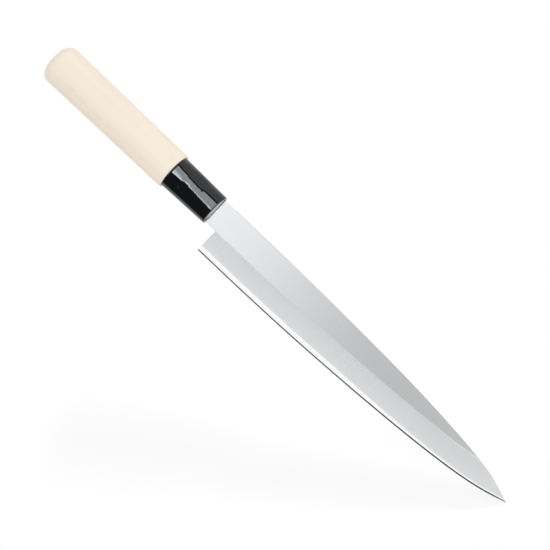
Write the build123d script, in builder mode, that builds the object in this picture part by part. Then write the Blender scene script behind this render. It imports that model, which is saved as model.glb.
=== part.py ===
"""A yanagiba: a long single-bevel slicing knife with an oval wooden handle.

The knife lies on its flat back. X runs along the handle's axis from the butt to the tip, Y points
from the cutting edge to the spine, and Z rises from the blade's flat back to its bevelled face.
The origin is on the blade's flat back, on the handle's axis, in line with the heel, so that the
tip's x is the length of the cutting edge. All sizes are in millimetres.
"""

from build123d import *
import math
import os

# ---- blade outline, seen from the bevelled face ----
stock_thickness = 2.4
heel_y = -21.7
tip_x = 210.0
tip_y = -6.3
neck_top_y = 7.65
neck_bottom_y = -7.6
machi_radius = 1.2
spine_points = [(42, 7.5), (92, 6.5), (139, 4.65), (172, 1.95), (195, -1.6)]
edge_points = [(42, -21.5), (92, -20.0), (139, -17.3), (172, -14.25), (197, -10.0)]
spine_tip_slope = -0.36
edge_tip_slope = 0.3
spine_break = 0.2

# ---- bevels, as widths from the cutting edge and angles from the flat back ----
edge_land = 0.03
micro_width = 0.6
micro_angle = 22.0
koba_angle = 13.0
koba_widths = [3.2, 3.05, 2.05, 1.0]
kireha_widths = [13.4, 13.5, 13.0, 12.4]
bevel_stations = [0.0, 0.45, 0.68, 1.0]
grind_run_on = 9.0

# ---- hollow of the flat back, between the rims beside the edge and the spine ----
rim_width = 2.2
wheel_radius = 200.0
wheel_below = 0.6
wheel_clearance = 0.1
hollow_stations = [6, 24, 55, 95, 135, 168, 190, 203]

# ---- tang, hidden in the handle ----
ferrule_front_x = -7.5
ferrule_front_wall = 3.0
tang_end_x = -100.0
tang_front_height = 11.0
tang_end_height = 5.0
tang_corner_radius = 1.0
tang_relief = 0.1

# ---- oval handle: full heights along Y and full thicknesses along Z ----
butt_x = -129.3
joint_x = -38.9
butt_height = 23.6
butt_thickness = 21.0
joint_height = 22.1
joint_thickness = 20.0
butt_round = 5.5
joint_round = 0.7

# ---- ferrule, a cap over the wood's spigot ----
ferrule_rear_height = 19.7
ferrule_rear_thickness = 17.4
ferrule_front_height = 18.3
ferrule_front_thickness = 16.4
ferrule_wall = 1.5
ferrule_dome_radius = 70.0
ferrule_rim_round = 0.6

# ---- slot in the ferrule and bore in the wood, filled with resin round the tang ----
slot_clearance = 0.15
slot_fill_recess = 0.6
bore_end_x = -104.0
bore_front_height = 12.6
bore_end_height = 7.0
bore_width = 4.4

axis_z = stock_thickness / 2
spigot_x = ferrule_front_x - ferrule_front_wall

os.makedirs("parts", exist_ok=True)


def cross_plane(x):
    """The plane square to the handle's axis at x, with its own x along Y and its own y along Z."""
    return Plane(origin=(x, 0, axis_z), x_dir=(0, 1, 0), z_dir=(1, 0, 0))


def height_at(curve, x):
    """The y of a long outline curve at x, found by halving the curve's range."""
    low, high = 0.0, 1.0
    for _ in range(40):
        middle = (low + high) / 2
        if (curve @ middle).X < x:
            low = middle
        else:
            high = middle
    return (curve @ low).Y


def grind_corners(koba_width, kireha_width):
    """Corners of what is ground away, with x outward from the edge and y up from the flat back."""
    beyond = 4.0
    above = 1.0
    below = 0.4
    micro_slope = math.tan(math.radians(micro_angle))
    micro_top = edge_land + micro_width * micro_slope
    koba_top = micro_top + (koba_width - micro_width) * math.tan(math.radians(koba_angle))
    kireha_slope = (stock_thickness - koba_top) / (kireha_width - koba_width)
    return [
        (beyond, edge_land - below),
        (below / micro_slope, edge_land - below),
        (-micro_width, micro_top),
        (-koba_width, koba_top),
        (-kireha_width - above / kireha_slope, stock_thickness + above),
        (beyond, stock_thickness + above),
    ]


# ---- the two long curves that bound the blade ----
with BuildLine() as spine_line:
    Spline(
        (ferrule_front_x, neck_top_y),
        *spine_points,
        (tip_x, tip_y),
        tangents=((1, 0), (1, spine_tip_slope)),
    )
spine_curve = spine_line.edges()[0]

with BuildLine() as edge_line:
    Spline(
        (0, heel_y),
        *edge_points,
        (tip_x, tip_y),
        tangents=((1, 0), (1, edge_tip_slope)),
    )
edge_curve = edge_line.edges()[0]

# ---- the grinding's path: the cutting edge, run on straight past the heel and the tip ----
with BuildLine() as grind_path:
    Line((-grind_run_on, heel_y), (0, heel_y))
    add(edge_curve)
    PolarLine(start=(tip_x, tip_y), length=grind_run_on, direction=edge_curve % 1)
grind_wire = grind_path.wires()[0]

# ---- blade: a flat blank, ground on one face and hollowed on the other, with a tang ----
with BuildPart() as blade:
    with BuildSketch(Plane.XY) as outline:
        with BuildLine():
            add(spine_curve)
            add(edge_curve)
            Polyline(
                (0, heel_y),
                (0, neck_bottom_y),
                (ferrule_front_x, neck_bottom_y),
                (ferrule_front_x, neck_top_y),
            )
        make_face()
        fillet(outline.vertices().sort_by_distance((0, neck_bottom_y))[0], machi_radius)
    extrude(amount=stock_thickness)
    top_edges = blade.faces().sort_by(Axis.Z)[-1].edges()
    chamfer(top_edges.filter_by(GeomType.BSPLINE).sort_by(Axis.Y)[-1], spine_break)

    # the main bevel, the second bevel and the fine bevel at the edge, in one cut
    for station, koba_width, kireha_width in zip(bevel_stations, koba_widths, kireha_widths):
        along = grind_wire % station
        station_plane = Plane(
            origin=grind_wire @ station, x_dir=(along.Y, -along.X, 0), z_dir=-along
        )
        with BuildSketch(station_plane):
            with BuildLine():
                Polyline(*grind_corners(koba_width, kireha_width), close=True)
            make_face()
    sweep(path=grind_wire, multisection=True, mode=Mode.SUBTRACT)

    # the hollow back, as a large wheel grinds it, fading out before the heel and the tip
    for x in hollow_stations:
        middle_y = (height_at(spine_curve, x) + height_at(edge_curve, x)) / 2
        half_width = height_at(spine_curve, x) - middle_y - rim_width
        depth = half_width**2 / (2 * wheel_radius)
        if x in (hollow_stations[0], hollow_stations[-1]):
            depth = -wheel_clearance
        reach = math.sqrt(2 * wheel_radius * (depth + wheel_below))
        with BuildSketch(Plane(origin=(x, middle_y, 0), x_dir=(0, 1, 0), z_dir=(1, 0, 0))):
            with BuildLine():
                ThreePointArc((-reach, -wheel_below), (0, depth), (reach, -wheel_below))
                Line((reach, -wheel_below), (-reach, -wheel_below))
            make_face()
    loft(mode=Mode.SUBTRACT)

    # the tang, a little thinner than the blade, with shoulders that bear on the spigot's end
    with BuildSketch(Plane.XY.offset(tang_relief)) as tang_outline:
        with BuildLine():
            Polyline(
                (ferrule_front_x, neck_bottom_y),
                (spigot_x, neck_bottom_y),
                (spigot_x, -tang_front_height / 2),
                (tang_end_x, -tang_end_height / 2),
                (tang_end_x, tang_end_height / 2),
                (spigot_x, tang_front_height / 2),
                (spigot_x, neck_top_y),
                (ferrule_front_x, neck_top_y),
                close=True,
            )
        make_face()
        fillet(tang_outline.vertices().group_by(Axis.X)[0], tang_corner_radius)
    extrude(amount=stock_thickness - 2 * tang_relief)

# ---- shared spaces: the spigot fills the ferrule, resin fills the bore and the slot ----
with BuildPart() as spigot:
    with BuildSketch(cross_plane(joint_x)):
        Ellipse(ferrule_rear_height / 2 - ferrule_wall, ferrule_rear_thickness / 2 - ferrule_wall)
    with BuildSketch(cross_plane(spigot_x)):
        Ellipse(ferrule_front_height / 2 - ferrule_wall, ferrule_front_thickness / 2 - ferrule_wall)
    loft()

with BuildPart() as tang_bore:
    with BuildSketch(cross_plane(bore_end_x)):
        Rectangle(bore_end_height, bore_width)
    with BuildSketch(cross_plane(spigot_x)):
        Rectangle(bore_front_height, bore_width)
    loft()

with BuildPart() as slot:
    with BuildSketch(cross_plane(spigot_x)):
        with Locations(((neck_top_y + neck_bottom_y) / 2, 0)):
            Rectangle(
                neck_top_y - neck_bottom_y + 2 * slot_clearance,
                stock_thickness + 2 * slot_clearance,
            )
    extrude(amount=ferrule_front_wall)

# ---- handle: an oval of pale wood with a round butt, a spigot in front and a bore ----
with BuildPart() as handle:
    with BuildSketch(cross_plane(butt_x)):
        Ellipse(butt_height / 2, butt_thickness / 2)
    with BuildSketch(cross_plane(joint_x)):
        Ellipse(joint_height / 2, joint_thickness / 2)
    loft()
    fillet(handle.faces().sort_by(Axis.X)[0].edges(), butt_round)
    fillet(handle.faces().sort_by(Axis.X)[-1].edges(), joint_round)
    add(spigot.part)
    add(tang_bore.part, mode=Mode.SUBTRACT)

# ---- ferrule: a black cap with a slightly domed front and a slot for the neck ----
with BuildPart() as ferrule:
    with BuildSketch(cross_plane(joint_x)):
        Ellipse(ferrule_rear_height / 2, ferrule_rear_thickness / 2)
    with BuildSketch(cross_plane(ferrule_front_x)):
        Ellipse(ferrule_front_height / 2, ferrule_front_thickness / 2)
    loft()
    with Locations((ferrule_front_x - ferrule_dome_radius, 0, axis_z)):
        Sphere(ferrule_dome_radius, mode=Mode.INTERSECT)
    fillet(ferrule.faces().sort_by(Axis.X)[-1].edges(), ferrule_rim_round)
    add(spigot.part, mode=Mode.SUBTRACT)
    add(slot.part, mode=Mode.SUBTRACT)

# ---- bedding: resin that fills the bore and seals the slot round the neck ----
with BuildPart() as tang_bedding:
    add(slot.part)
    split(bisect_by=cross_plane(ferrule_front_x - slot_fill_recess), keep=Keep.BOTTOM)
    add(tang_bore.part)
    add(blade.part, mode=Mode.SUBTRACT)

blade.part.label = "blade"
export_step(blade.part, "parts/blade.step")
handle.part.label = "handle"
export_step(handle.part, "parts/handle.step")
ferrule.part.label = "ferrule"
export_step(ferrule.part, "parts/ferrule.step")
tang_bedding.part.label = "tang_bedding"
export_step(tang_bedding.part, "parts/tang_bedding.step")
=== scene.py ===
"""Looks for the yanagiba: satin steel, pale wood and a glossy black ferrule in a white studio.

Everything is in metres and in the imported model's frame: X runs from the butt to the tip, Y from the
cutting edge to the spine, and Z from the blade's flat back to its bevelled face.
"""

import math

import bmesh
import bpy
import numpy as np
from mathutils import Matrix, Vector


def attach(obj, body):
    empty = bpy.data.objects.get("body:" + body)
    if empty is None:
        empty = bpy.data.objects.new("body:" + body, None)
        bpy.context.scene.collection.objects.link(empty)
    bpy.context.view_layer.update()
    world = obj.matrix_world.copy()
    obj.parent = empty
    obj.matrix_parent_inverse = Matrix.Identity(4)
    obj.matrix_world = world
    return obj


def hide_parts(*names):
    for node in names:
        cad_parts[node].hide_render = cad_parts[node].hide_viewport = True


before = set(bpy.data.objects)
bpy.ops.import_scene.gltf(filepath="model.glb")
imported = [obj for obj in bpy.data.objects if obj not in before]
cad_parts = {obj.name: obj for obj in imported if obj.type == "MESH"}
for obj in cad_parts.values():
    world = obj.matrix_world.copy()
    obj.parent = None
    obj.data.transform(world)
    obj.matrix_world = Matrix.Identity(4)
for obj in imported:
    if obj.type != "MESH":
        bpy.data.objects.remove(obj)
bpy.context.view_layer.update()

# ---- camera ----
VIEW_TURN = math.radians(44.0)
VIEW_TILT = math.radians(11.0)
VIEW_DISTANCE = 1.1
VIEW_AIM = Vector((0.03936, -0.00306, 0.00125))
SENSOR_WIDTH = 36.0
LENS = 135.3
CLIP_START = 0.05
CLIP_END = 20

# ---- blade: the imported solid's own sizes ----
MM = 0.001
STOCK = 2.4 * MM
HEEL_Y = -21.7 * MM
NECK_FRONT_X = -7.5 * MM
NECK_TOP_Y = 7.65 * MM
NECK_BOTTOM_Y = -7.6 * MM
MACHI_RADIUS = 1.2 * MM
TIP_X = 210 * MM
TIP_Y = -6.3 * MM
SPINE_POINTS = [(42, 7.5), (92, 6.5), (139, 4.65), (172, 1.95), (195, -1.6)]
EDGE_POINTS = [(42, -21.5), (92, -20), (139, -17.3), (172, -14.25), (197, -10)]
SPINE_TIP_SLOPE = -0.36
EDGE_TIP_SLOPE = 0.3
SPINE_BREAK = 0.2 * MM
EDGE_LAND = 0.03 * MM
MICRO_ANGLE = 22
KOBA_ANGLE = 13
MICRO_SLOPE = math.tan(math.radians(MICRO_ANGLE))
KOBA_SLOPE = math.tan(math.radians(KOBA_ANGLE))
# the x of the four places for which the bevels' widths are given
GRIND_STATIONS = [-9 * MM, 94.8 * MM, 147.8 * MM, 221 * MM]
KIREHA_WIDTHS = [13.4 * MM, 13.5 * MM, 13.0 * MM, 12.4 * MM]
RIM_WIDTH = 2.2 * MM
WHEEL_RADIUS = 200 * MM
HOLLOW_STATIONS = [6, 24, 55, 95, 135, 168, 190, 203]
HOLLOW_END_DEPTH = -0.1 * MM
TANG_RELIEF = 0.1 * MM
SPIGOT_X = -10.5 * MM
TANG_END_X = -100 * MM
TANG_FRONT_HEIGHT = 11 * MM
TANG_END_HEIGHT = 5 * MM
TANG_CORNER = 1 * MM

# ---- blade: the scene's own sizes ----
# the solid's fine bevel is 0.6 mm wide throughout, and its second bevel is 1.0 mm wide at the end
MICRO_WIDTHS = [0.57 * MM, 0.6 * MM, 0.68 * MM, 0.76 * MM]
KOBA_WIDTHS = [3.2 * MM, 3.05 * MM, 2.05 * MM, 1.15 * MM]
BEVEL_WIDTHS = [MICRO_WIDTHS, KOBA_WIDTHS, KIREHA_WIDTHS]
KIREHA_BELLY = 0.035 * MM
SHINOGI_SOFTNESS = 1.0 * MM
HOLLOW_SOFTNESS = 0.008 * MM
HOLLOW_END_SLOPES = (0.04, -0.01)

# ---- blade's mesh ----
CREASE = 0.05 * MM
RIDGE_STEP = 0.25 * MM
SOFT_ROOM = 1.05
KIREHA_ROWS = 4
HIRA_ROWS = 5
RIM_STEP = 0.3 * MM
RIM_STEP_SHARE = 0.03
RIM_SHARE = 0.3
BACK_EDGE_ROWS = 6
BACK_SPINE_ROWS = 7
BODY_STATIONS = 120
TIP_STATIONS = 30
TIP_PART = 0.9
ARC_STEP = 10
WIDTH_ROUNDS = 30
WELD = 1e-7
SHARP_ANGLE = 22

# ---- ferrule's uneven polish, as bump ----
# along the ferrule, in millimetres: how far its upper side leans, and how far it is pinched
WAVES = [
    (-37.5, 0.045, 0.02),
    (-34.5, 0.025, -0.02),
    (-31.3, 0.025, -0.018),
    (-28.6, 0.036, -0.112),
    (-25, -0.004, -0.09),
    (-22.3, -0.02, -0.11),
    (-20.3, -0.018, -0.08),
    (-18.1, 0.004, -0.012),
    (-12, -0.01, 0.0),
    (-9, -0.03, 0.015),
]
WAVE_MIDDLE = 0.5
WAVE_REACH = 4.5 * MM
PINCH_REACH = 4 * MM
WAVE_LOW = (-7.5 * MM, -2.4 * MM)
WAVE_HIGH = (4.8 * MM, 9.2 * MM)
ROLL_START = -37.7 * MM
ROLL_LENGTH = 1.2 * MM
ROLL_DEPTH = 0.12 * MM
RIPPLE_SCALE = (60, 150, 150)
RIPPLE_DEPTH = 0.012 * MM

# ---- steel: scales are in features per metre, along X, Y and Z ----
# name, scratches, roughness, relief and level, in the order of the blade's zones
STEELS = [
    ("steel_hira", (55, 4200, 4200), 0.125, 1.0, 0.75),
    ("steel_kireha", (4200, 90, 90), 0.25, 1.0, 0.75),
    ("steel_koba", (5200, 150, 150), 0.19, 0.6, 0.78),
    ("steel_back", (4200, 110, 110), 0.24, 1.0, 0.75),
    # the walls' low level of 0.45 is painted shade: it darkens the spine, the neck's underside and
    # the other narrow sides
    ("steel_wall_painted_shade", (55, 4200, 4200), 0.3, 1.0, 0.45),
    # the fine edge's low level of 0.5 is a painted dark reflection: it draws the dark line along the
    # edge
    ("steel_edge_painted_dark", (5200, 150, 150), 0.08, 0.3, 0.5),
]
STEEL_DARK = (0.965, 0.972, 0.982)
STEEL_LIGHT = (1.035, 1.045, 1.055)
STEEL_RELIEF = 0.0000022
STEEL_CLOUDS = (14, 30, 30)
BROAD_SHARE = 0.12
BROAD_TONE = 0.02
FINE_TONE = 0.025
FULL_TONE = 0.045
SCRATCH_ROUGHNESS = 0.03
CLOUD_ROUGHNESS = 0.012
NOISE_SPAN = (0.2, 0.8)

# ---- wood ----
WOOD_PALE = (0.845, 0.753, 0.64, 1)
WOOD_DEEP = (0.785, 0.683, 0.552, 1)
WOOD_PORE = (0.62, 0.47, 0.33, 1)
PORE_SHARE = 0.32
PORE_SPAN = (0.66, 0.78)
RING_CENTRE = (0, 0.031, 0.024)
RING_WIDTH = 0.0021
RING_WARP = 0.0011
RING_SHARPNESS = 1.6
RING_TONE = 0.3
STREAK_TONE = (-0.1, 0.32)
FIBRE_TONE = 0.16
CLOUD_TONE = 0.08
WARP_SCALE = (9, 45, 45)
FIBRE_SCALE = (28, 1500, 1500)
STREAK_SCALE = (7, 170, 170)
PORE_SCALE = (190, 3400, 3400)
CLOUD_SCALE = (20, 55, 55)
FIBRE_SPAN = (0.25, 0.75)
WOOD_SPAN = (0.3, 0.7)
WOOD_ROUGHNESS = (0.56, 0.66)
FIBRE_HEIGHT = 0.6
WOOD_RELIEF = 0.000012

# ---- ferrule and resin ----
FERRULE_DARK = (0.0023, 0.0027, 0.0033, 1)
FERRULE_LIGHT = (0.0045, 0.0052, 0.0062, 1)
FERRULE_ROUGHNESS = (0.02, 0.045)
FERRULE_TINT = (0.89, 0.95, 1.0, 1)
FERRULE_IOR = 1.48
SKIN_SCALE = (900, 1300, 1300)
SKIN_RELIEF = 0.0000012
SMEAR_SCALE = (60, 160, 160)
SMEAR_SPAN = (0.3, 0.7)
RESIN_DARK = (0.022, 0.021, 0.019, 1)
RESIN_LIGHT = (0.038, 0.035, 0.032, 1)
RESIN_ROUGHNESS = (0.42, 0.56)
RESIN_SCALE = (1500, 1500, 1500)
RESIN_RELIEF = 0.00002

# ---- light ----
AMBIENT = 0.85
PANEL_HEIGHT = 0.9
PANEL_X = (-0.9, 0.9)
PANEL_Y = (-0.27, 1.35)
# the panel's levels at places along X, and on the cutting edge's side along Y and along X
PANEL_ALONG = [(-0.19, 1.14), (0.075, 0.635), (0.19, 0.64), (0.33, 2.9)]
PANEL_EDGE_Y = [(-0.25, 0.92), (-0.1, 0.70)]
PANEL_EDGE_X = [(-0.14, 0.985), (0.04, 1.035), (0.2, 0.855)]
PANEL_SHARE = [(-0.06, 0), (0.03, 1)]
FLAG_LEVEL = 0.06
GAP_FLAG_LEVEL = 0.02
# each level card: the x and y that it spans, and its height
FLAG_EDGE = ((-0.4, 0.45), (-0.92, PANEL_Y[0]), PANEL_HEIGHT)
FLAG_GAP = ((-0.5, 0.1), (0.515, 0.765), 0.83)
FLAG_LOW_X = (-0.55, -0.1)
FLAG_LOW_Y = -0.9
FLAG_LOW_Z = (-0.4, 0.9)
# each level lamp: the x and y that it spans, its height and its radiance
FERRULE_STRIP = ((-0.21, 0.0), (-0.27, 0.53), 0.86, 5.5)
FERRULE_STRIP_LOW = ((-0.21, 0.0), (-0.27, -0.12), 0.85, 4.6)
FERRULE_STRIP_END = ((-0.21, -0.172), (-0.27, 0.04), 0.84, 5.5)
WOOD_FILL = ((-0.5, 0.3), (-1.3, -0.5), 0.5, 0.75)
KOBA_STRIP = ((-0.6, 0.6), (-0.46, -0.27), 0.88, 1.35)
KEY_DIRECTION = Vector((-0.45, 0.22, 0.865))
KEY_DISTANCE = 1.4
KEY_SIZE = (0.4, 0.4)
KEY_RADIANCE = 1.2

# ---- floor: a pale sheet bent along a line under the tip, with a lamp of its own ----
FOLD_X = 211 * MM
FLOOR_Z = -0.6 * MM
FLOOR_SLOPE = 0.467
FLOOR_X = (-0.16, 0.29)
FLOOR_Y = (-0.3, 0.1)
FLOOR_FADE = 0.06
FLOOR_COVER = 0.17
FLOOR_GREYS = (0.69, 0.71)
FLOOR_GRAIN = (300, 300, 300)
FLOOR_AIM = Vector((0.1, -0.07, -0.05))
FLOOR_LIGHT = Vector((-0.675, 0.607, 0.423))
FLOOR_LAMP_DISTANCE = 1.4
FLOOR_LAMP_SIZE = (0.15, 0.15)
FLOOR_LAMP_RADIANCE = 216


class Curve:
    """A smooth curve y(x) through points, with the slope given at both ends."""

    def __init__(self, points, first_slope, last_slope):
        self.x = np.array([p[0] for p in points], float)
        self.y = np.array([p[1] for p in points], float)
        step = np.diff(self.x)
        rise = np.diff(self.y)
        count = len(points)
        matrix = np.eye(count)
        right = np.zeros(count)
        right[0], right[-1] = first_slope, last_slope
        for i in range(1, count - 1):
            matrix[i, i - 1] = 1 / step[i - 1]
            matrix[i, i] = 2 / step[i - 1] + 2 / step[i]
            matrix[i, i + 1] = 1 / step[i]
            right[i] = 3 * (rise[i - 1] / step[i - 1] ** 2 + rise[i] / step[i] ** 2)
        self.slopes = np.linalg.solve(matrix, right)

    def at(self, x):
        """The height and the slope at x."""
        i = int(np.clip(np.searchsorted(self.x, x) - 1, 0, len(self.x) - 2))
        step = self.x[i + 1] - self.x[i]
        t = (x - self.x[i]) / step
        a, b = self.y[i], self.y[i + 1]
        p, q = self.slopes[i] * step, self.slopes[i + 1] * step
        height = a + t * (p + t * (3 * (b - a) - 2 * p - q + t * (2 * (a - b) + p + q)))
        slope = (p + t * (2 * (3 * (b - a) - 2 * p - q) + 3 * t * (2 * (a - b) + p + q))) / step
        return height, slope


def scaled(points):
    return [(x * MM, y * MM) for x, y in points]


spine = Curve(
    [(NECK_FRONT_X, NECK_TOP_Y), *scaled(SPINE_POINTS), (TIP_X, TIP_Y)], 0, SPINE_TIP_SLOPE
)
edge = Curve([(0, HEEL_Y), *scaled(EDGE_POINTS), (TIP_X, TIP_Y)], 0, EDGE_TIP_SLOPE)


def hollow_depths():
    """The hollow's depth along the blade: a wheel's arc that ends at the rims."""
    points = []
    for station in HOLLOW_STATIONS:
        x = station * MM
        half = (spine.at(x)[0] - edge.at(x)[0]) / 2 - RIM_WIDTH
        ends = station in (HOLLOW_STATIONS[0], HOLLOW_STATIONS[-1])
        points.append((x, HOLLOW_END_DEPTH if ends else half**2 / (2 * WHEEL_RADIUS)))
    return Curve(points, *HOLLOW_END_SLOPES)


hollow = hollow_depths()


def back_height(x, y):
    """Height of the flat back over z = 0, in the hollow and on the rims round it."""
    if not HOLLOW_STATIONS[0] * MM < x < HOLLOW_STATIONS[-1] * MM:
        return 0.0
    middle = (spine.at(x)[0] + edge.at(x)[0]) / 2
    over = hollow.at(x)[0] - (y - middle) ** 2 / (2 * WHEEL_RADIUS)
    return max(0.0, (over + math.hypot(over, HOLLOW_SOFTNESS) - HOLLOW_SOFTNESS) / 2)


def top_height(u, width, micro, koba, kireha):
    """Height of the bevelled face at the distance u from the edge, of width in all."""
    micro_top = EDGE_LAND + micro * MICRO_SLOPE
    koba_top = micro_top + (koba - micro) * KOBA_SLOPE
    if u <= micro:
        height = EDGE_LAND + u * MICRO_SLOPE
    elif u <= koba:
        height = micro_top + (u - micro) * KOBA_SLOPE
    else:
        slope = (STOCK - koba_top) / (kireha - koba)
        across = min(1.0, (u - koba) / (kireha - koba))
        below = (kireha - u) * slope - 4 * KIREHA_BELLY * across * (1 - across)
        soft = SHINOGI_SOFTNESS * slope
        if below < -soft:
            below = 0.0
        elif below < soft:
            below = (below + soft) ** 2 / (4 * soft)
        height = STOCK - below
    return min(height, STOCK - max(0.0, u - (width - SPINE_BREAK)))


def station_line(x):
    """The edge point at x, the inward direction there and the distance to the spine."""
    y, slope = edge.at(x)
    size = math.hypot(1, slope)
    inward = (-slope / size, 1 / size)
    width = spine.at(x)[0] - y
    for _ in range(WIDTH_ROUNDS):
        reach = (spine.at(x + inward[0] * width)[0] - y) / inward[1]
        width = max(0.0, reach)
    return (x, y), inward, width


def spread(a, b, count):
    """count values evenly between a and b, without the two ends."""
    return [a + (b - a) * (i + 1) / (count + 1) for i in range(count)]


def top_rows(width, micro, koba, kireha):
    """Distances from the edge of the rows of the bevelled face, close together at each ridge."""
    below_neck = NECK_BOTTOM_Y - HEEL_Y - float(np.interp(0, GRIND_STATIONS, KIREHA_WIDTHS))
    soft = SHINOGI_SOFTNESS
    shinogi = [-soft, below_neck - MACHI_RADIUS, -RIDGE_STEP, 0, RIDGE_STEP, below_neck]
    shinogi.append(SOFT_ROOM * soft)
    rows = [0, micro - CREASE, micro + CREASE, koba - CREASE, koba + CREASE]
    rows += spread(koba, kireha - soft, KIREHA_ROWS)
    rows += [kireha + s for s in shinogi]
    flat_end = width - SPINE_BREAK
    rows += spread(rows[-1], max(flat_end, rows[-1]), HIRA_ROWS)
    rows = [min(r, max(flat_end, 0)) for r in rows]
    return [*rows, max(flat_end, 0), max(width - SPINE_BREAK / 2, 0), width]


def back_rows(width):
    """Distances from the edge of the rows of the flat back, close together at the rims."""
    machi = width * (NECK_BOTTOM_Y - MACHI_RADIUS - HEEL_Y) / (spine.at(0)[0] - HEEL_Y)
    rim = min(RIM_WIDTH, RIM_SHARE * width)
    near = min(RIM_STEP, RIM_STEP_SHARE * width)
    rows = [0, rim - near, rim, rim + near, *spread(rim + near, machi, BACK_EDGE_ROWS), machi]
    rows += spread(machi, width - rim - near, BACK_SPINE_ROWS)
    rows += [width - rim - near, width - rim]
    return rows + [width - rim + near, width]


def station_places():
    """Where the blade's cross lines start on the edge, closer together at the tip."""
    body = np.linspace(0, TIP_PART * TIP_X, BODY_STATIONS, endpoint=False)
    end = np.linspace(TIP_PART * TIP_X, TIP_X, TIP_STATIONS)
    return [*body, *end]


def add_grid(mesh, lines, zones):
    """Quads between neighbouring lines of points; zones gives each strip's material."""
    made = [[mesh.verts.new(p) for p in line] for line in lines]
    for a, b in zip(made, made[1:]):
        for i in range(len(a) - 1):
            face = mesh.faces.new((a[i], a[i + 1], b[i + 1], b[i]))
            face.material_index = zones[i] if isinstance(zones, list) else zones


def add_face(mesh, points, zone):
    mesh.faces.new([mesh.verts.new(p) for p in points]).material_index = zone


HIRA, KIREHA, KOBA, BACK, WALL, EDGE = range(6)


def blade_lines():
    """The bevelled face's and the back's cross lines, from the heel to the tip."""
    top, back = [], []
    for x in station_places():
        (ex, ey), inward, width = station_line(x)
        bevels = [float(np.interp(x, GRIND_STATIONS, widths)) for widths in BEVEL_WIDTHS]
        line = []
        for u in top_rows(width, *bevels):
            z = top_height(u, width, *bevels) if width > 0 else EDGE_LAND
            line.append((ex + inward[0] * u, ey + inward[1] * u, z))
        top.append(line)
        line = []
        for u in back_rows(width):
            px, py = ex + inward[0] * u, ey + inward[1] * u
            line.append((px, py, back_height(px, py)))
        back.append(line)
    return top, back


def machi_arc():
    """The rounded corner between the neck's underside and the heel, seen from above."""
    turns = [math.radians(t) for t in range(0, 91, ARC_STEP)]
    x, y = -MACHI_RADIUS, NECK_BOTTOM_Y - MACHI_RADIUS
    return [(x + MACHI_RADIUS * math.sin(t), y + MACHI_RADIUS * math.cos(t)) for t in turns]


def build_blade_mesh():
    mesh = bmesh.new()
    top, back = blade_lines()
    zones = [EDGE] * 2 + [KOBA] * 2 + [KIREHA] * 9 + [HIRA] * 8 + [WALL] * 2
    add_grid(mesh, top, zones)
    add_grid(mesh, back, BACK)
    add_grid(mesh, [[t[-1], b[-1]] for t, b in zip(top, back)], WALL)
    add_grid(mesh, [[t[0], b[0]] for t, b in zip(top, back)], EDGE)

    # the neck goes on from the heel's cross line, and a rounded corner joins it to the heel
    corner_y = NECK_BOTTOM_Y - MACHI_RADIUS
    near = CREASE / 2
    neck = [p for p in top[0] if p[1] > NECK_BOTTOM_Y - near]
    lines = []
    for x in (0, -MACHI_RADIUS, NECK_FRONT_X):
        rise = (spine.at(x)[0] - NECK_BOTTOM_Y) / (spine.at(0)[0] - NECK_BOTTOM_Y)
        lines.append([(x, NECK_BOTTOM_Y + (p[1] - NECK_BOTTOM_Y) * rise, p[2]) for p in neck])
    add_grid(mesh, lines, HIRA)
    corner = [p for p in top[0] if corner_y - near < p[1] < NECK_BOTTOM_Y + near]
    arc = machi_arc()
    corner_top = neck[0][2]
    heights = np.linspace(corner_top, corner[0][2], len(arc))
    arc_top = [(x, y, z) for (x, y), z in zip(arc, heights)]
    arc_back = [(x, y, 0) for x, y in arc]
    add_face(mesh, [*corner, *arc_top[:-1]], HIRA)
    add_grid(mesh, [[a, b] for a, b in zip(arc_top, arc_back)], WALL)
    add_grid(mesh, [[line[-1], (line[0][0], line[-1][1], 0)] for line in lines], WALL)
    bottom = [(line[0][0], NECK_BOTTOM_Y, 0) for line in lines[1:]]
    add_grid(mesh, [[line[0], b] for line, b in zip(lines[1:], bottom)], WALL)
    heel_top = [p for p in top[0] if p[1] < corner_y + near]
    heel_back = [p for p in back[0] if p[1] < corner_y + near]
    add_face(mesh, [*heel_top, *heel_back[::-1]], WALL)
    neck_back = [p for p in back[0] if p[1] > corner_y - near]
    spine_back = [(line[0][0], line[-1][1], 0) for line in lines[1:]]
    add_face(mesh, [*neck_back, *spine_back, *bottom[::-1], *arc_back[1:-1]], BACK)
    add_face(mesh, [*lines[-1], spine_back[-1], bottom[-1]], WALL)
    add_tang(mesh)

    bmesh.ops.remove_doubles(mesh, verts=mesh.verts, dist=WELD)
    bmesh.ops.dissolve_degenerate(mesh, edges=mesh.edges, dist=WELD)
    bmesh.ops.recalc_face_normals(mesh, faces=mesh.faces)
    return mesh


def add_tang(mesh):
    """The tang inside the handle: a plate with shoulders, tapered to an end with cut corners."""
    outline = [
        (NECK_FRONT_X, NECK_BOTTOM_Y),
        (SPIGOT_X, NECK_BOTTOM_Y),
        (SPIGOT_X, -TANG_FRONT_HEIGHT / 2),
        (TANG_END_X + TANG_CORNER, -TANG_END_HEIGHT / 2),
        (TANG_END_X, -TANG_END_HEIGHT / 2 + TANG_CORNER),
        (TANG_END_X, TANG_END_HEIGHT / 2 - TANG_CORNER),
        (TANG_END_X + TANG_CORNER, TANG_END_HEIGHT / 2),
        (SPIGOT_X, TANG_FRONT_HEIGHT / 2),
        (SPIGOT_X, NECK_TOP_Y),
        (NECK_FRONT_X, NECK_TOP_Y),
    ]
    low = [(x, y, TANG_RELIEF) for x, y in outline]
    high = [(x, y, STOCK - TANG_RELIEF) for x, y in outline]
    add_face(mesh, low, WALL)
    add_face(mesh, high, WALL)
    for i in range(len(outline)):
        j = (i + 1) % len(outline)
        add_face(mesh, [low[i], low[j], high[j], high[i]], WALL)


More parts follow.
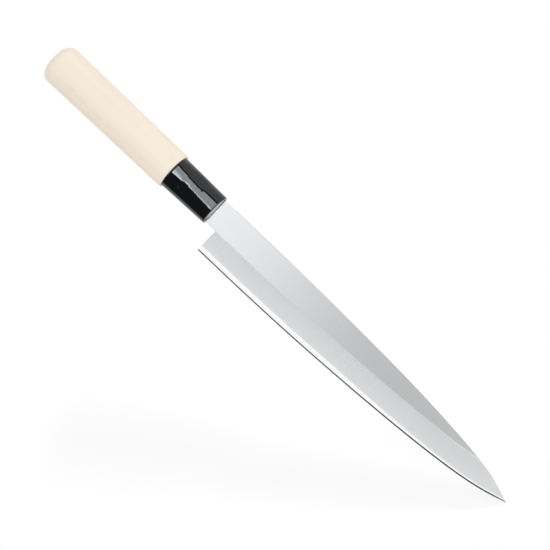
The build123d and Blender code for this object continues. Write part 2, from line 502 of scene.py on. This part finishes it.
def add_blade():
    mesh = build_blade_mesh()
    data = bpy.data.meshes.new("blade_steel")
    mesh.to_mesh(data)
    mesh.free()
    for polygon in data.polygons:
        polygon.use_smooth = True
    data.set_sharp_from_angle(angle=math.radians(SHARP_ANGLE))
    blade = bpy.data.objects.new("blade_steel", data)
    bpy.context.scene.collection.objects.link(blade)
    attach(blade, "root")
    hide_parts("blade")
    return blade


def image_axes():
    """Unit vectors to the right, to the top and out of the picture."""
    right = Vector((math.cos(VIEW_TURN), math.sin(VIEW_TURN), 0))
    table_up = Vector((-math.sin(VIEW_TURN), math.cos(VIEW_TURN), 0))
    out = Vector((0, 0, math.cos(VIEW_TILT))) - table_up * math.sin(VIEW_TILT)
    return right, out.cross(right), out


def add_camera():
    right, up, out = image_axes()
    data = bpy.data.cameras.new("camera")
    data.sensor_width = SENSOR_WIDTH
    data.lens = LENS
    data.clip_start = CLIP_START
    data.clip_end = CLIP_END
    camera = bpy.data.objects.new("camera", data)
    place = VIEW_AIM + out * VIEW_DISTANCE
    camera.matrix_world = Matrix.Translation(place) @ Matrix((right, up, out)).transposed().to_4x4()
    bpy.context.scene.collection.objects.link(camera)
    bpy.context.scene.camera = camera


# ---- shader nodes ----
def new_material(name):
    material = bpy.data.materials.new(name)
    material.use_nodes = True
    material.node_tree.nodes.clear()
    return material, material.node_tree


def put(tree, socket, value):
    """Links a socket to value, or sets it."""
    if isinstance(value, bpy.types.NodeSocket):
        tree.links.new(value, socket)
    elif value is not None:
        socket.default_value = value


def math_node(tree, operation, *values):
    node = tree.nodes.new("ShaderNodeMath")
    node.operation = operation
    for socket, value in zip(node.inputs, values):
        put(tree, socket, value)
    return node.outputs[0]


def object_place(tree):
    """Coordinates in metres, in the model's own frame."""
    return tree.nodes.new("ShaderNodeTexCoord").outputs["Object"]


def separate(tree, vector):
    node = tree.nodes.new("ShaderNodeSeparateXYZ")
    tree.links.new(vector, node.inputs[0])
    return node.outputs


def mapped(tree, scale, shift=(0, 0, 0)):
    """Object coordinates times scale, which is in features per metre along each axis."""
    node = tree.nodes.new("ShaderNodeMapping")
    tree.links.new(object_place(tree), node.inputs["Vector"])
    node.inputs["Scale"].default_value = scale
    node.inputs["Location"].default_value = shift
    return node.outputs[0]


def noise(tree, vector, detail=2.0, roughness=0.5):
    node = tree.nodes.new("ShaderNodeTexNoise")
    tree.links.new(vector, node.inputs["Vector"])
    node.inputs["Scale"].default_value = 1
    node.inputs["Detail"].default_value = detail
    node.inputs["Roughness"].default_value = roughness
    return node.outputs["Fac"]


def ranged(tree, value, low, high, to_low=0.0, to_high=1.0):
    node = tree.nodes.new("ShaderNodeMapRange")
    for name, number in zip(("Value", "From Min", "From Max", "To Min", "To Max"),
                            (value, low, high, to_low, to_high)):
        put(tree, node.inputs[name], number)
    return node.outputs[0]


def ramped(tree, value, stops):
    """A smooth curve of colours that runs through (place, colour) stops."""
    low, high = stops[0][0], stops[-1][0]
    ramp = tree.nodes.new("ShaderNodeValToRGB")
    ramp.color_ramp.interpolation = "EASE"
    tree.links.new(ranged(tree, value, low, high), ramp.inputs["Fac"])
    elements = ramp.color_ramp.elements
    while len(elements) < len(stops):
        elements.new(0.5)
    for element, (place, colour) in zip(elements, stops):
        element.position = (place - low) / (high - low)
        element.color = colour
    return ramp.outputs["Color"]


def stepped(tree, value, stops):
    """A smooth curve of grey levels that runs through (place, level) stops."""
    return ramped(tree, value, [(place, (level, level, level, 1)) for place, level in stops])


def blended(tree, share, a, b):
    """Colour a where share is 0 and b where it is 1."""
    node = tree.nodes.new("ShaderNodeMix")
    node.data_type = "RGBA"
    put(tree, node.inputs["Factor"], share)
    put(tree, node.inputs["A"], a)
    put(tree, node.inputs["B"], b)
    return node.outputs["Result"]


def bumped(tree, height, distance, normal=None):
    """The surface normal with height, from 0 to 1, standing distance metres proud."""
    node = tree.nodes.new("ShaderNodeBump")
    tree.links.new(height, node.inputs["Height"])
    node.inputs["Distance"].default_value = distance
    put(tree, node.inputs["Normal"], normal)
    return node.outputs["Normal"]


def principled(tree, **sockets):
    shader = tree.nodes.new("ShaderNodeBsdfPrincipled")
    out = tree.nodes.new("ShaderNodeOutputMaterial")
    tree.links.new(shader.outputs[0], out.inputs["Surface"])
    for name, value in sockets.items():
        put(tree, shader.inputs[name.replace("_", " ")], value)


# ---- materials ----
def steel_material(name, lines, roughness, relief, level):
    """Satin steel: lines is how many scratches there are per metre along X, Y and Z; level scales its
    colour, and the low levels of the walls and the fine edge are painted shade.
    """
    material, tree = new_material(name)
    broad = noise(tree, mapped(tree, [n * BROAD_SHARE for n in lines]), 3)
    fine = noise(tree, mapped(tree, lines, (3.1, 7.3, 1.9)), 2, 0.6)
    cloud = noise(tree, mapped(tree, STEEL_CLOUDS), 1)
    tone = math_node(tree, "ADD", ranged(tree, broad, *NOISE_SPAN, -BROAD_TONE, BROAD_TONE),
                     ranged(tree, fine, *NOISE_SPAN, -FINE_TONE, FINE_TONE))
    # level scales the colour: where it is low, on the walls and the fine edge, it paints shade and a
    # dark reflection
    colour = blended(tree, ranged(tree, tone, -FULL_TONE, FULL_TONE),
                     (*(level * part for part in STEEL_DARK), 1),
                     (*(level * part for part in STEEL_LIGHT), 1))
    scratched = ranged(tree, fine, *NOISE_SPAN, -SCRATCH_ROUGHNESS, SCRATCH_ROUGHNESS)
    clouded = ranged(tree, cloud, *NOISE_SPAN,
                     roughness - CLOUD_ROUGHNESS, roughness + CLOUD_ROUGHNESS)
    principled(
        tree,
        Base_Color=colour,
        Metallic=1.0,
        Roughness=math_node(tree, "ADD", scratched, clouded),
        Normal=bumped(tree, fine, STEEL_RELIEF * relief),
    )
    return material


def wood_material():
    """Pale, fine sanded wood: straight grain along X, rings seen at the butt, small pores."""
    material, tree = new_material("wood")
    warp = noise(tree, mapped(tree, WARP_SCALE), 2)
    place = separate(tree, mapped(tree, (1, 1, 1), RING_CENTRE))
    out = math_node(tree, "ADD", math_node(tree, "POWER", place["Y"], 2.0),
                    math_node(tree, "POWER", place["Z"], 2.0))
    out = math_node(tree, "POWER", out, 0.5)
    out = math_node(tree, "ADD", out, ranged(tree, warp, 0, 1, -RING_WARP, RING_WARP))
    ring = math_node(tree, "PINGPONG", math_node(tree, "MULTIPLY", out, 1 / RING_WIDTH), 1.0)
    ring = math_node(tree, "POWER", ring, RING_SHARPNESS)
    fibre = noise(tree, mapped(tree, FIBRE_SCALE), 3, 0.6)
    streak = noise(tree, mapped(tree, STREAK_SCALE, (5, 2, 9)), 3, 0.55)
    pore = noise(tree, mapped(tree, PORE_SCALE, (1, 8, 4)), 1, 0.4)
    pore = ranged(tree, pore, *PORE_SPAN)
    cloud = noise(tree, mapped(tree, CLOUD_SCALE, (2, 6, 3)), 2)
    share = math_node(tree, "ADD", ranged(tree, ring, 0, 1, 0, RING_TONE),
                      ranged(tree, streak, *WOOD_SPAN, *STREAK_TONE))
    share = math_node(tree, "ADD", share,
                      ranged(tree, fibre, *FIBRE_SPAN, -FIBRE_TONE, FIBRE_TONE))
    share = math_node(tree, "ADD", share,
                      ranged(tree, cloud, *WOOD_SPAN, -CLOUD_TONE, CLOUD_TONE))
    colour = blended(tree, share, WOOD_PALE, WOOD_DEEP)
    colour = blended(tree, math_node(tree, "MULTIPLY", pore, PORE_SHARE), colour, WOOD_PORE)
    height = math_node(tree, "SUBTRACT", math_node(tree, "MULTIPLY", fibre, FIBRE_HEIGHT), pore)
    principled(
        tree,
        Base_Color=colour,
        Roughness=ranged(tree, fibre, *FIBRE_SPAN, *WOOD_ROUGHNESS),
        Specular_IOR_Level=0.4,
        Sheen_Weight=0.45,
        Sheen_Roughness=0.35,
        Normal=bumped(tree, height, WOOD_RELIEF),
    )
    return material


def wave_height(tree):
    """Height in metres of the ferrule's uneven polish: WAVES leans and pinches its upper side."""
    place = separate(tree, object_place(tree))
    stops = [(x * MM, (WAVE_MIDDLE + lean, WAVE_MIDDLE + pinch, 0, 1)) for x, lean, pinch in WAVES]
    split = tree.nodes.new("ShaderNodeSeparateColor")
    tree.links.new(ramped(tree, place["X"], stops), split.inputs[0])
    lean = math_node(tree, "SUBTRACT", split.outputs[0], WAVE_MIDDLE)
    pinch = math_node(tree, "SUBTRACT", split.outputs[1], WAVE_MIDDLE)
    across = math_node(tree, "TANH", math_node(tree, "DIVIDE", place["Y"], WAVE_REACH))
    lean = math_node(tree, "MULTIPLY", lean, across)
    pinch = math_node(tree, "MULTIPLY", pinch, math_node(tree, "POWER", across, 2.0))
    pinch = math_node(tree, "MULTIPLY", pinch, WAVE_REACH / PINCH_REACH)
    wave = math_node(tree, "MULTIPLY", math_node(tree, "ADD", lean, pinch), WAVE_REACH)
    window = [(WAVE_LOW[0], 0), (WAVE_LOW[1], 1), (WAVE_HIGH[0], 1), (WAVE_HIGH[1], 0)]
    wave = math_node(tree, "MULTIPLY", wave, stepped(tree, place["Y"], window))
    roll = ranged(tree, place["X"], ROLL_START, ROLL_START - ROLL_LENGTH)
    roll = math_node(tree, "MULTIPLY", math_node(tree, "POWER", roll, 2.0), ROLL_DEPTH)
    return math_node(tree, "SUBTRACT", wave, roll)


def ferrule_material():
    """Black gloss over a surface that isn't quite true, so that reflections waver."""
    material, tree = new_material("ferrule")
    ripple = noise(tree, mapped(tree, RIPPLE_SCALE), 1, 0.4)
    skin = noise(tree, mapped(tree, SKIN_SCALE), 2)
    smear = noise(tree, mapped(tree, SMEAR_SCALE, (4, 4, 4)), 3)
    ripple = math_node(tree, "MULTIPLY", ripple, RIPPLE_DEPTH)
    height = math_node(tree, "ADD", wave_height(tree), ripple)
    principled(
        tree,
        Base_Color=blended(tree, smear, FERRULE_DARK, FERRULE_LIGHT),
        Roughness=ranged(tree, smear, *SMEAR_SPAN, *FERRULE_ROUGHNESS),
        IOR=FERRULE_IOR,
        Specular_Tint=FERRULE_TINT,
        Normal=bumped(tree, skin, SKIN_RELIEF, bumped(tree, height, 1.0)),
    )
    return material


def resin_material():
    material, tree = new_material("resin")
    grain = noise(tree, mapped(tree, RESIN_SCALE), 2)
    principled(
        tree,
        Base_Color=blended(tree, grain, RESIN_DARK, RESIN_LIGHT),
        Roughness=ranged(tree, grain, *NOISE_SPAN, *RESIN_ROUGHNESS),
        Normal=bumped(tree, grain, RESIN_RELIEF),
    )
    return material


# ---- world, cards, lamps and floor ----
def set_world():
    """Ambient light, and plain white for what the camera, gloss and glass see."""
    world = bpy.data.worlds.new("world")
    bpy.context.scene.world = world
    world.use_nodes = True
    tree = world.node_tree
    tree.nodes.clear()
    path = tree.nodes.new("ShaderNodeLightPath")
    seen = math_node(tree, "MAXIMUM", path.outputs["Is Camera Ray"], path.outputs["Is Glossy Ray"])
    seen = math_node(tree, "MAXIMUM", seen, path.outputs["Is Transmission Ray"])
    background = tree.nodes.new("ShaderNodeBackground")
    background.inputs["Color"].default_value = (1, 1, 1, 1)
    tree.links.new(ranged(tree, seen, 0, 1, AMBIENT, 1), background.inputs["Strength"])
    out = tree.nodes.new("ShaderNodeOutputWorld")
    tree.links.new(background.outputs[0], out.inputs["Surface"])


def glow_material(name, strength):
    """Plain light of one level, or of the level that a function's socket gives."""
    material, tree = new_material(name)
    glow = tree.nodes.new("ShaderNodeEmission")
    out = tree.nodes.new("ShaderNodeOutputMaterial")
    tree.links.new(glow.outputs[0], out.inputs["Surface"])
    put(tree, glow.inputs["Strength"], strength(tree) if callable(strength) else strength)
    return material


def add_card(name, corners, material, diffuse=False):
    """A flat studio card that the camera doesn't see; it lights rough things only if diffuse."""
    data = bpy.data.meshes.new(name)
    data.from_pydata(corners, [], [tuple(range(len(corners)))])
    data.materials.append(material)
    card = bpy.data.objects.new(name, data)
    bpy.context.scene.collection.objects.link(card)
    card.visible_camera = False
    card.visible_shadow = False
    card.visible_transmission = False
    card.visible_diffuse = diffuse


def level_rectangle(x, y, z):
    return [(x[0], y[0], z), (x[1], y[0], z), (x[1], y[1], z), (x[0], y[1], z)]


def panel_level(tree):
    """The overhead softbox: brighter over the handle and past the tip, evener beside the edge."""
    place = separate(tree, object_place(tree))
    along = stepped(tree, place["X"], PANEL_ALONG)
    edge_side = stepped(tree, place["Y"], PANEL_EDGE_Y)
    far = stepped(tree, place["X"], PANEL_EDGE_X)
    edge_side = math_node(tree, "MULTIPLY", edge_side, far)
    share = stepped(tree, place["Y"], PANEL_SHARE)
    return blended(tree, share, edge_side, along)


def add_lamp(name, place, size, radiance, receivers=None, aim=(0, 0, 0)):
    """A soft rectangular lamp of that radiance, for the receivers alone where they are given."""
    data = bpy.data.lights.new(name, "AREA")
    data.shape = "RECTANGLE"
    data.size, data.size_y = size
    data.energy = math.pi * size[0] * size[1] * radiance
    lamp = bpy.data.objects.new(name, data)
    lamp.location = place
    down = Vector(aim) - Vector(place)
    lamp.rotation_euler = down.to_track_quat("-Z", "Y").to_euler()
    lamp.visible_camera = False
    bpy.context.scene.collection.objects.link(lamp)
    if receivers:
        only = bpy.data.collections.new(name + "_receivers")
        for piece in receivers:
            only.objects.link(piece)
        lamp.light_linking.receiver_collection = only


def flat_lamp(name, x, y, z, radiance, receivers):
    """A level lamp that faces down and spans x and y."""
    place = ((x[0] + x[1]) / 2, (y[0] + y[1]) / 2, z)
    size = (x[1] - x[0], y[1] - y[0])
    add_lamp(name, place, size, radiance, receivers, (place[0], place[1], 0))


def add_lights():
    panel = glow_material("panel", panel_level)
    add_card("panel", level_rectangle(PANEL_X, PANEL_Y, PANEL_HEIGHT), panel, True)
    flag = glow_material("flag", FLAG_LEVEL)
    gap_flag = glow_material("flag_gap", GAP_FLAG_LEVEL)
    add_card("flag_edge", level_rectangle(*FLAG_EDGE), flag)
    low_wall = [(x, FLAG_LOW_Y, FLAG_LOW_Z[1]) for x in FLAG_LOW_X]
    low_wall += [(x, FLAG_LOW_Y, FLAG_LOW_Z[0]) for x in reversed(FLAG_LOW_X)]
    add_card("flag_low", low_wall, flag)
    add_card("flag_gap", level_rectangle(*FLAG_GAP), gap_flag)
    ferrule = [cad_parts["ferrule"]]
    flat_lamp("ferrule_strip", *FERRULE_STRIP, ferrule)
    flat_lamp("ferrule_strip_low", *FERRULE_STRIP_LOW, ferrule)
    flat_lamp("ferrule_strip_end", *FERRULE_STRIP_END, ferrule)
    flat_lamp("wood_fill", *WOOD_FILL, [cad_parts["handle"]])
    flat_lamp("koba_strip", *KOBA_STRIP, [blade])
    key_place = VIEW_AIM + KEY_DIRECTION * KEY_DISTANCE
    add_lamp("key", key_place, KEY_SIZE, KEY_RADIANCE, None, VIEW_AIM)


def floor_material():
    """Pale and thin: it fades out at its borders and is clear from below."""
    material, tree = new_material("floor")
    place = separate(tree, object_place(tree))
    cover = FLOOR_COVER
    for axis, (low, high) in (("X", FLOOR_X), ("Y", FLOOR_Y)):
        for side, border, inner in ((1.0, low, low + FLOOR_FADE), (-1.0, high, high - FLOOR_FADE)):
            inward = math_node(tree, "MULTIPLY", place[axis], side)
            fade = stepped(tree, inward, [(side * border, 0), (side * inner, 1)])
            cover = math_node(tree, "MULTIPLY", fade, cover)
    below = tree.nodes.new("ShaderNodeNewGeometry").outputs["Backfacing"]
    cover = math_node(tree, "MULTIPLY", cover, math_node(tree, "SUBTRACT", 1.0, below))
    clear = tree.nodes.new("ShaderNodeBsdfTransparent")
    pale = tree.nodes.new("ShaderNodeBsdfDiffuse")
    grain = noise(tree, mapped(tree, FLOOR_GRAIN), 2)
    dark, light = [(grey, grey, grey, 1) for grey in FLOOR_GREYS]
    put(tree, pale.inputs["Color"], blended(tree, grain, dark, light))
    mix = tree.nodes.new("ShaderNodeMixShader")
    put(tree, mix.inputs[0], cover)
    tree.links.new(clear.outputs[0], mix.inputs[1])
    tree.links.new(pale.outputs[0], mix.inputs[2])
    out = tree.nodes.new("ShaderNodeOutputMaterial")
    tree.links.new(mix.outputs[0], out.inputs["Surface"])
    return material


def add_floor():
    low = FLOOR_Z - FLOOR_SLOPE * (FOLD_X - FLOOR_X[0])
    corners = [
        (FLOOR_X[0], FLOOR_Y[0], low),
        (FOLD_X, FLOOR_Y[0], FLOOR_Z),
        (FLOOR_X[1], FLOOR_Y[0], FLOOR_Z),
        (FLOOR_X[1], FLOOR_Y[1], FLOOR_Z),
        (FOLD_X, FLOOR_Y[1], FLOOR_Z),
        (FLOOR_X[0], FLOOR_Y[1], low),
    ]
    data = bpy.data.meshes.new("floor")
    data.from_pydata(corners, [], [(0, 1, 4, 5), (1, 2, 3, 4)])
    data.materials.append(floor_material())
    floor = bpy.data.objects.new("floor", data)
    bpy.context.scene.collection.objects.link(floor)
    floor.visible_glossy = False
    floor.visible_diffuse = False
    floor.visible_shadow = False
    place = FLOOR_AIM + FLOOR_LIGHT * FLOOR_LAMP_DISTANCE
    add_lamp("floor_lamp", place, FLOOR_LAMP_SIZE, FLOOR_LAMP_RADIANCE, [floor], FLOOR_AIM)


def dress(name, material):
    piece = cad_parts[name]
    piece.data.materials.clear()
    piece.data.materials.append(material)


blade = add_blade()
for steel in STEELS:
    blade.data.materials.append(steel_material(*steel))

dress("handle", wood_material())
dress("ferrule", ferrule_material())
dress("tang_bedding", resin_material())

add_camera()
set_world()
add_lights()
add_floor()
bpy.context.scene.view_settings.view_transform = "Standard"
